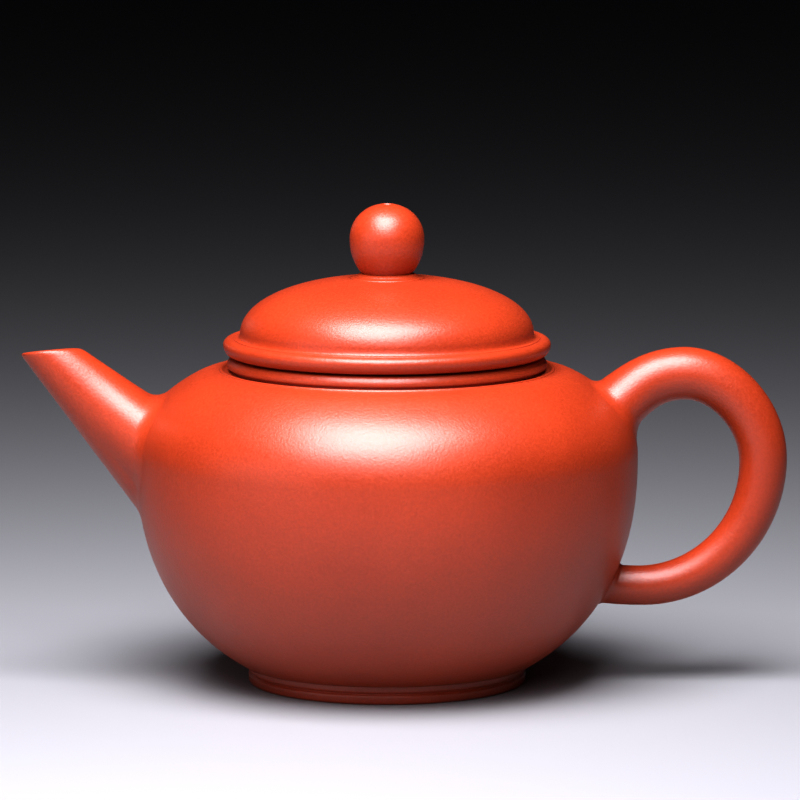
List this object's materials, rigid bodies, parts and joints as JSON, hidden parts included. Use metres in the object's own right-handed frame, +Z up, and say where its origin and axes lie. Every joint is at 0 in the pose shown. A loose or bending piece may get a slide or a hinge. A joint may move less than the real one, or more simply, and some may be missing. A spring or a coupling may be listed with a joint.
{
  "type": "yixing clay teapot",
  "caption": "Small round unglazed red clay teapot with a straight spout, an ear-shaped handle and a lift-off lid with a ball knob, for brewing and pouring tea.",
  "frame": {"origin": "on the table, under the middle of the length from spout tip to handle; the turned axis of pot and lid stands 3.1 mm from it towards the spout", "axes": "+Z up out of the lid, +X towards the handle, -X towards the spout"},
  "size_m": [0.1214, 0.08, 0.077],
  "materials": {
    "burnished_red_clay": "satin, finely burnished unglazed stoneware clay",
    "plain_red_clay": "matte, unburnished stoneware clay"
  },
  "bodies": {
    "pot": {"body_wall": "burnished_red_clay", "base_disc": "plain_red_clay", "foot_ring": "burnished_red_clay", "neck_ring": "burnished_red_clay", "spout": "burnished_red_clay", "strainer": "plain_red_clay", "handle": "burnished_red_clay"},
    "lid_seat": {"lid_flange": "plain_red_clay"},
    "lid": {"lid_rim": "burnished_red_clay", "lid_dome": "burnished_red_clay", "knob_collar": "burnished_red_clay", "knob": "burnished_red_clay"}
  },
  "joints": [
    {"name": "lid_lift", "type": "slide", "parent": "pot", "child": "lid_seat", "axis": [0, 0, 1], "range_m": [0, 0.045]},
    {"name": "lid_turn", "type": "hinge", "parent": "lid_seat", "child": "lid", "pos_m": [-0.00313, 0, 0.0525], "axis": [0, 0, 1], "continuous": true}
  ]
}
